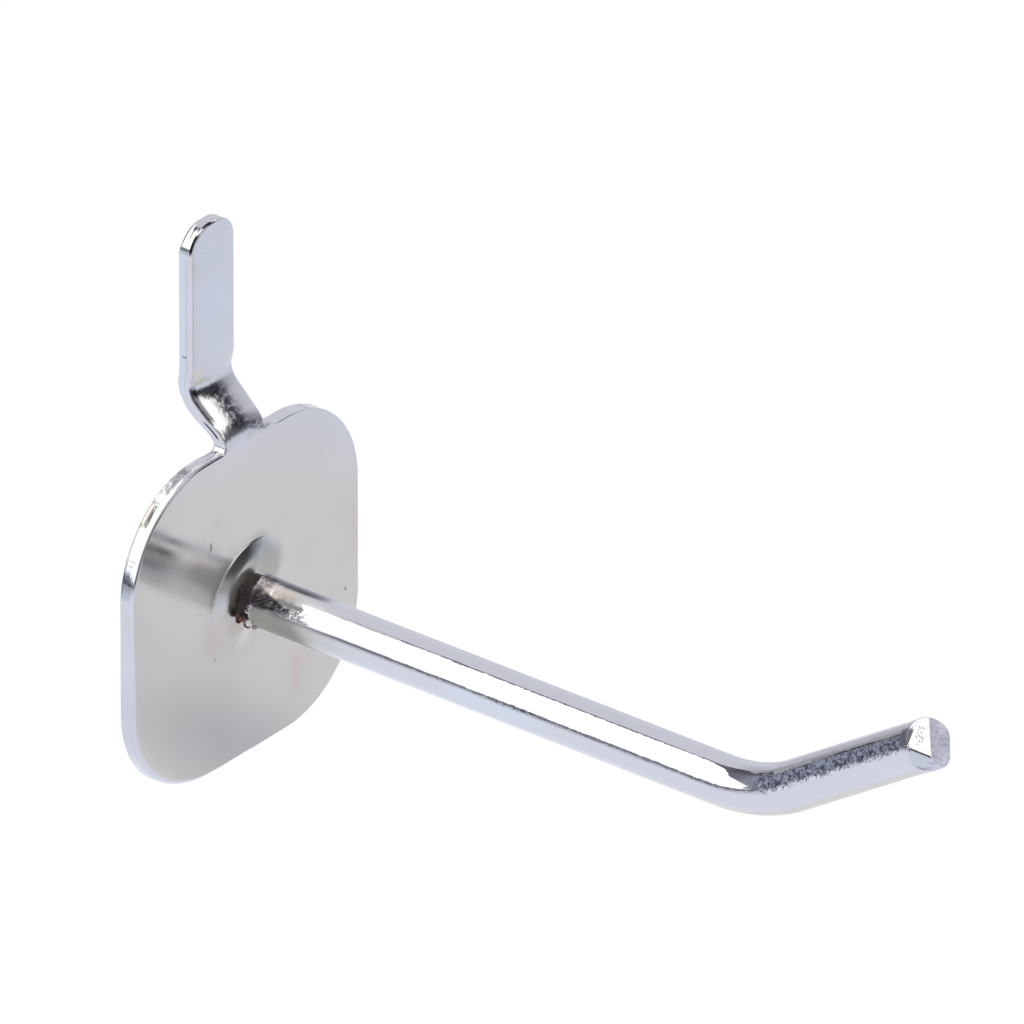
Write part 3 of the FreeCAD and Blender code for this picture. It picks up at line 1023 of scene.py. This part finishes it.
    mirrored = spot((-6.5, -1.5, 4.6), 8.0, (1.0, 1.0, 1.2), 0.0)
    rougher = (
        (0.06, worn.between(0.45, 0.8)),
        (0.3, marks),
        (0.04, spot((0, -1.9, 0), 6.8, ROUND, 0.0)),
        (0.07, mirrored),
        (0.12, boss_dark_reflection),
        (0.35, rim["smear"]),
        (0.1, scuffed),
        (0.4, burnt),
        (0.12, bent * x.between(-0.2, 1.0)),
        (0.08, z.inside(15.4, 16.2, 17.0, 17.8)),
        (0.14, spot((2.0, -2.0, 3.2), 3.0, ROUND, 0.0)),
    )
    roughness = sum((weight * mask for weight, mask in rougher), 0.12)
    height = peel * (dimpled * 0.022 + 0.0012 + 0.02 * scuffed) + brush * 0.0010 + cloudy * 0.02
    metal_surface(recipe, roughness, height, 1 - 0.42 * mirrored)
    return material


def prong_finish(colours):
    """Bright chromium, burnt and crinkled at the root with painted highlights and reflections there, torn on
    the upturn and bare on the sheared end, with painted shade past its chord.
    """
    material, recipe = new_finish("prong_chromium")
    lay = recipe.laid()
    x, y, z = recipe.split(lay)
    along = y * -1
    turn = recipe.dot(lay, (-0.5736, 0, -0.8192)).angle(recipe.dot(lay, (-0.8192, 0, 0.5736)))
    coat = recipe.coat
    fine = recipe.grain(lay, 1.6, 4.0, 0.62)
    tiny = recipe.grain(lay, 4.2, 2.0, 0.6)
    streaks = recipe.grain(recipe.scaled(lay, (1.0, 0.06, 1.0)), 1.5, 3.0, 0.6)
    lumpy = recipe.grain(recipe.scaled(lay, (1.0, 0.35, 1.0)), 1.1, 3.0, 0.6)
    maze = recipe.grain(lay, 1.35, 1.2, 0.5, 1.0)
    askew = recipe.join(turn * 0.042 + along * 0.5, along * 0.3 - turn * 0.012, 0.0)
    crinkle = recipe.grain(askew, 3.2, 2.5, 0.6)
    hatch = recipe.grain(recipe.join(x * 0.9 + z * 0.5, 0.0, z * 2.2 + x * 1.3), 1.9, 3.0, 0.6)

    def patch(turned, mm, wide, long, ragged=0.8):
        """1 in the middle of an ellipse on the unrolled wire, and 0 outside, with a ragged edge."""
        across, ahead = (turn - turned) / wide, (along - mm) / long
        return (across * across + ahead * ahead + (fine - 0.5) * (2 * ragged)).between(1.0, 0.3)

    # The root
    recipe.colour = recipe.blend(streaks.between(0.4, 0.7) * 0.3, colours.chrome, (0.50, 0.515, 0.56))
    # Painted reflection: the underside of the root olive grey, for the plate that it mirrors
    coat(along.between(18.0, 6.0) * turn.between(14, 30) * 0.9, (0.47, 0.455, 0.37))
    # Painted highlight: a pinkish cream patch on the upper side of the root
    coat(patch(-31, 6.0, 20, 2.6, 0.3) * 0.6, (0.66, 0.56, 0.50))
    coat(patch(-46, 4.3, 24, 1.3) * (0.4 + 0.5 * tiny.between(0.4, 0.6)), (0.24, 0.205, 0.22))
    # The crinkled patch: real crinkles, their pattern painted dark and near white, the near white being
    # painted glints
    gnawed = patch(5, 8.3, 14, 2.5, 0.5)
    coat(gnawed * 0.7, recipe.blend(crinkle.between(0.42, 0.56), (0.20, 0.185, 0.20), (0.88, 0.88, 0.88)))
    narrow = (8.7 - along) * 5.6 - abs(turn + 11 - along * 1.8) + (fine - 0.5) * 12
    dark = narrow.between(-2, 5) * (0.78 + 0.22 * crinkle.between(0.6, 0.45))
    coat(dark, recipe.blend(turn.between(-8, -26), (0.062, 0.051, 0.058), (0.15, 0.13, 0.14)))
    coat(along.between(3.9, 3.5) * tiny.between(0.5, 0.62) * 0.6, colours.burnt)
    coat(patch(80, 4.7, 5, 0.25, 0.4) * 0.5, colours.pit)

    # The straight and the upturn
    upturn, tip = along.between(60.0, 63.0), along.between(81.3, 81.9)
    body = 1 - tip
    field = upturn * body * (turn + (fine - 0.5) * 7).inside(-15, -10, 19, 29)
    mottle = recipe.blend(abs(maze - 0.5).between(0.02, 0.085), (0.11, 0.12, 0.145), (0.60, 0.62, 0.67))
    coat(field * 0.9, mottle)
    pitted = along.inside(30, 33, 36, 38) * turn.inside(9, 13, 22, 27)
    coat(pitted * tiny.between(0.53, 0.60) * 0.8, colours.pit)
    coat(along.inside(24, 28, 34, 40) * turn.inside(20, 25, 40, 60) * 0.5, (0.55, 0.63, 0.66))

    # The sheared end: burnished on one side, torn on the other, its rim pressed flat to a chord
    burnished = recipe.dot(lay, (-0.866, 0, 0.5)).between(0.02, 0.14)
    chatter = 0.0
    for a, b, tall in TIP_MARKS:
        near = recipe.distance(recipe.scaled(lay, (1.0, 0, tall)), (a, 0, b * tall))
        chatter = (near + (tiny - 0.5) * 0.1).between(0.15, 0.05).over(chatter)
    coat(tip * burnished * chatter * 0.6, colours.pit)
    torn = tip * (1 - burnished)
    coat(torn, (0.60, 0.61, 0.69))
    coat(torn * hatch.between(0.45, 0.6) * 0.5, (0.30, 0.30, 0.37))
    beyond_chord = recipe.dot(lay, (-0.559, 0, 0.829)).between(1.97, 2.02) * along.between(80.9, 81.05)
    # Painted shade: the strip beyond the chord dark and far less metallic, except on its upper side
    chord_shade = beyond_chord * turn.between(-34, -22)
    coat(chord_shade, (0.09, 0.09, 0.11))

    low_line = turn.inside(8, 14, 24, 34) * along.between(16, 24) * body
    high_line = turn.inside(-36, -30, -16, -10) * body
    drawn = turn.inside(-36, -30, -14, -8) * upturn * body
    heights = (
        streaks * (0.006 + 0.03 * drawn + 0.008 * turn.between(34, 44)),
        lumpy * (0.03 * low_line + 0.018 * high_line),
        tiny * (0.006 * low_line),
        crinkle * (0.08 * gnawed),
        fine * (0.03 * field + 0.03 * patch(-5, 4.6, 50, 1.5)),
        along.between(13.5, 8.0) * 0.26,
    )
    rougher = (
        (0.17, along.between(18, 9) * turn.between(8, 20)),
        (0.08, along.between(13.0, 4.0)),
        (0.34, torn),
        (0.2, dark),
        (0.06, field),
        (0.16, along.between(13.5, 10.0) * turn.between(-20, -32)),
    )
    roughness = sum((weight * mask for weight, mask in rougher), 0.04)
    metal_surface(recipe, roughness, sum(heights), 1 - 0.5 * torn - 0.85 * chord_shade)
    return material


def weld_finish(colours):
    """Dark scale, brown low on the left, with bright plating on the beads."""
    material, recipe = new_finish("burnt_weld")
    tenths, climb, kind = recipe.split(recipe.laid())
    around = tenths * 10
    place = recipe.place()
    fine = recipe.grain(place, 2.6, 4.0, 0.65)
    broad = recipe.grain(place, 0.9, 3.0, 0.6)
    recipe.colour = recipe.blend(broad.between(0.4, 0.65), colours.burnt, (0.045, 0.04, 0.038))
    recipe.coat(around.between(192, 208) * fine.between(0.35, 0.6) * 0.8, (0.13, 0.075, 0.06))
    brown = around.inside(196, 208, 240, 262) * climb.between(1.1, 0.6)
    recipe.coat(brown * fine.between(0.3, 0.55) * 0.4, colours.stain)
    recipe.coat(around.between(155, 120) * broad.between(0.45, 0.7) * 0.4, (0.26, 0.21, 0.18))
    bright = kind.between(0.5, 1.0)
    pale = recipe.blend(kind.between(1.2, 1.8), (0.66, 0.68, 0.62), (0.40, 0.39, 0.39))
    recipe.coat(bright * fine.between(0.38, 0.5), pale)
    metal_surface(recipe, 0.55 - 0.2 * bright, fine * 0.06, 0.9)
    return material


# Stage


def sky(stage):
    """World light: white walls with two large soft lights, and the darker gaps of the room between them."""
    world = bpy.data.worlds.new("studio")
    world.use_nodes = True
    bpy.context.scene.world = world
    recipe = Recipe(world.node_tree)
    way = recipe.node("ShaderNodeTexCoord", None, None, "Generated")
    x, y, z = recipe.split(way)

    # Walls, and the gaps behind the object
    upper = z.between(0.35, 0.6)
    behind = y.between(0.1, 0.3)
    recipe.colour = recipe.blend(z.between(0.3, 0.95), (0.97, 0.99, 1.10), (1.02, 1.01, 1.12))
    rightward = recipe.dot(way, (0.99, -0.14, 0))
    recipe.coat(rightward.between(0.55, -0.08) * behind * z.between(0.7, 0.35), (0.50, 0.50, 0.55))
    leftward = recipe.dot(way, (-0.988, 0.156, 0))
    back_gap = (leftward + upper * 0.24 - 0.15).between(0.0, 0.05) * behind
    core = leftward.between(0.10, 0.34).over(z.between(0.6, 0.8))
    dim = recipe.blend(upper, (0.42, 0.44, 0.54), (0.24, 0.24, 0.31))
    recipe.coat(back_gap, recipe.blend(core, (0.14, 0.14, 0.17), dim))

    # The camera's side of the room
    front = y.between(0.0, -0.3)
    recipe.coat(front * x.between(0.1, -0.2), (0.78, 0.76, 0.76))
    doorway = front * y.between(-0.25, -0.45) * x.inside(-0.3, -0.1, 0.68, 0.93) * z.between(0.80, 0.70)
    recipe.coat(doorway, (0.07, 0.07, 0.09))
    recipe.coat(front * x.between(-0.1, -0.4) * z.between(0.36, 0.2), (0.46, 0.45, 0.45))

    # The front light with the shade before it, the large light, and the dark below
    facing = recipe.dot(way, (0.793, 0.268, 0.549)).between(-0.03, 0.03)
    panel = facing * (x - z * 0.9 - 0.04).between(0.02, -0.02)
    panel = panel * z.between(0.31, 0.35) * y.between(-0.1, -0.25)
    shade = y.between(-0.54, -0.58) * z.inside(0.58, 0.66, 0.80, 0.83) * x.inside(-0.5, -0.3, 0.16, 0.24)
    recipe.coat(shade, (0.08, 0.08, 0.10))
    recipe.coat(panel * (1 - shade), tuple(c * stage.front for c in (1.0, 0.98, 0.95)))
    edge = recipe.dot(way, (-0.698, -0.653, 0.292)) + z.between(0.6, 0.75) * 0.12
    softbox = edge.between(-0.015, 0.03) * z.between(0.05, 0.12) * y.between(0.0, 0.15)
    recipe.coat(softbox, tuple(c * stage.key for c in (1.0, 0.99, 1.0)))
    recipe.coat(z.between(0.04, -0.02), (0.34, 0.34, 0.40))

    seen = recipe.node("ShaderNodeLightPath", None, None, "Is Camera Ray")
    room = recipe.node("ShaderNodeBackground", None, {"Color": recipe.colour, "Strength": 1.0})
    white = recipe.node("ShaderNodeBackground", None, {"Color": (1, 1, 1, 1), "Strength": 1.0})
    both = recipe.node("ShaderNodeMixShader", None, {0: seen, 1: room, 2: white})
    recipe.node("ShaderNodeOutputWorld", None, {"Surface": both})


def floor_finish():
    """White paper to the camera, with the room's light and shade on it where the metal mirrors it."""
    material, recipe = new_finish("white_paper")
    place = recipe.place()
    x, y, _ = recipe.split(place)
    far = recipe.distance(place, (50, -52, 0)).between(34, 62).over(y.between(-70, -82))
    cool = recipe.blend((y - x).between(-190, -40), (0.98, 1.04, 1.24), (1.14, 1.17, 1.33))
    cool = recipe.blend(x.between(30, 70) * y.between(20, 60), cool, (0.86, 0.86, 0.94))
    recipe.colour = recipe.blend(far, (1.04, 1.0, 0.99), cool)
    beige = (y + x * 0.9).between(-12, -24) * y.inside(-260, -170, -82, -72) * x.between(35, 55)
    recipe.coat(beige, (0.80, 0.79, 0.73))
    recipe.coat(x.inside(20, 32, 52, 64) * y.between(-20, -32), (0.93, 0.915, 0.93))
    leftward = x.between(0, -100)
    squared = x * x + y * y
    recipe.coat(squared.between(2e4, 8e4) * leftward, (0.80, 0.83, 0.92))
    recipe.coat(squared.between(2e5, 4e5) * leftward, (0.16, 0.16, 0.20))
    rays = recipe.node("ShaderNodeLightPath", None, None, "Is Camera Ray").socket.node.outputs
    camera, glossy = (Signal(recipe, rays[kind]) for kind in ("Is Camera Ray", "Is Glossy Ray"))
    recipe.coat(camera, (1.0, 1.0, 1.0))
    shine = recipe.node("ShaderNodeEmission", None, {"Color": recipe.colour, "Strength": 1.0})
    paper = recipe.blend(recipe.grain(place, 0.02, 3.0, 0.5) * 0.1, (0.9, 0.9, 0.9), (0.86, 0.86, 0.86))
    matt = recipe.node("ShaderNodeBsdfDiffuse", None, {"Color": paper})
    both = recipe.node("ShaderNodeMixShader", None, {0: camera * 0.94 + glossy * 0.88, 1: matt, 2: shine})
    recipe.node("ShaderNodeOutputMaterial", None, {"Surface": both})
    return material


def lay_floor(stage):
    """Plain floor that keeps the object's shadow."""
    reach, depth = stage.floor_reach, -stage.floor_depth
    mesh = bpy.data.meshes.new("floor")
    corners = [(-reach, -reach, 0), (reach, -reach, 0), (reach, reach, 0), (-reach, reach, 0)]
    mesh.from_pydata(corners, [], [(0, 1, 2, 3)])
    floor = bpy.data.objects.new("floor", mesh)
    floor.location = (0, 0, depth)
    mesh.materials.append(floor_finish())
    bpy.context.scene.collection.objects.link(floor)


def hang_lamp():
    """A weak, broad lamp above the front that rounds off the matt parts."""
    data = bpy.data.lights.new("soft_lamp", "AREA")
    data.shape, data.size, data.size_y = "RECTANGLE", 0.5, 0.5
    data.energy = 0.6
    lamp = bpy.data.objects.new("soft_lamp", data)
    lamp.location = Vector((0.3, -0.5, 0.75))
    lamp.visible_glossy = False
    lamp.rotation_mode = "QUATERNION"
    lamp.rotation_quaternion = (lamp.location - Vector((0, -0.03, 0))).to_track_quat("Z", "Y")
    bpy.context.scene.collection.objects.link(lamp)


def aim_camera(stage):
    """Camera at the photo's angle, so far off that there is hardly any perspective."""
    a, e = stage.azimuth, stage.elevation
    right = Vector((math.cos(a), math.sin(a), 0))
    back = Vector((math.sin(a) * math.cos(e), -math.cos(a) * math.cos(e), math.sin(e)))
    up = back.cross(right)
    data = bpy.data.cameras.new("camera")
    data.lens, data.sensor_width = stage.lens, 36
    away = stage.span * stage.lens / data.sensor_width
    data.clip_start, data.clip_end = away / 10, away * 20
    camera = bpy.data.objects.new("camera", data)
    camera.location = right * stage.aim_right + up * stage.aim_up + back * away
    camera.rotation_mode = "QUATERNION"
    camera.rotation_quaternion = back.to_track_quat("Z", "Y")
    bpy.context.scene.collection.objects.link(camera)
    bpy.context.scene.camera = camera


# Operators, panel and start


class HOOK_OT_stamp_plate(bpy.types.Operator):
    """Makes the stamped plate with its tongue and boss"""

    bl_idname = "hook.stamp_plate"
    bl_label = "Stamp the plate"

    def execute(self, context):
        stamp_plate(context.scene.hook_plate, plate_finish(context.scene.hook_colours))
        return {"FINISHED"}


class HOOK_OT_draw_prong(bpy.types.Operator):
    """Makes the wire prong with its sheared end"""

    bl_idname = "hook.draw_prong"
    bl_label = "Draw the prong"

    def execute(self, context):
        scene = context.scene
        draw_prong(scene.hook_prong, scene.hook_weld, prong_finish(scene.hook_colours))
        return {"FINISHED"}


class HOOK_OT_lay_weld(bpy.types.Operator):
    """Makes the rough weld between plate and prong"""

    bl_idname = "hook.lay_weld"
    bl_label = "Lay the weld"

    def execute(self, context):
        scene = context.scene
        lay_weld(scene.hook_weld, scene.hook_prong, weld_finish(scene.hook_colours))
        return {"FINISHED"}


class HOOK_OT_set_stage(bpy.types.Operator):
    """Makes the floor, the lights and the camera"""

    bl_idname = "hook.set_stage"
    bl_label = "Set the stage"

    def execute(self, context):
        stage = context.scene.hook_stage
        sky(stage)
        lay_floor(stage)
        hang_lamp()
        aim_camera(stage)
        context.scene.view_settings.view_transform = "Standard"
        return {"FINISHED"}


class HOOK_PT_panel(bpy.types.Panel):
    """Lists the steps that make the hook"""

    bl_idname = "HOOK_PT_panel"
    bl_label = "Pegboard hook"
    bl_space_type = "VIEW_3D"
    bl_region_type = "UI"
    bl_category = "Hook"

    def draw(self, context):
        for operator in STEPS:
            self.layout.operator(operator.bl_idname)


GROUPS = {
    "hook_plate": PlateSizes,
    "hook_prong": ProngSizes,
    "hook_weld": WeldSizes,
    "hook_colours": FinishColours,
    "hook_stage": StageSizes,
}
STEPS = (HOOK_OT_stamp_plate, HOOK_OT_draw_prong, HOOK_OT_lay_weld, HOOK_OT_set_stage)


def register():
    for kind in (*GROUPS.values(), *STEPS, HOOK_PT_panel):
        bpy.utils.register_class(kind)
    for name, group in GROUPS.items():
        setattr(bpy.types.Scene, name, PointerProperty(type=group))


def unregister():
    for name in GROUPS:
        delattr(bpy.types.Scene, name)
    for kind in (HOOK_PT_panel, *STEPS[::-1], *list(GROUPS.values())[::-1]):
        bpy.utils.unregister_class(kind)


def main():
    register()
    bpy.ops.hook.stamp_plate()
    bpy.ops.hook.draw_prong()
    bpy.ops.hook.lay_weld()
    bpy.ops.hook.set_stage()


if __name__ == "__main__":
    main()
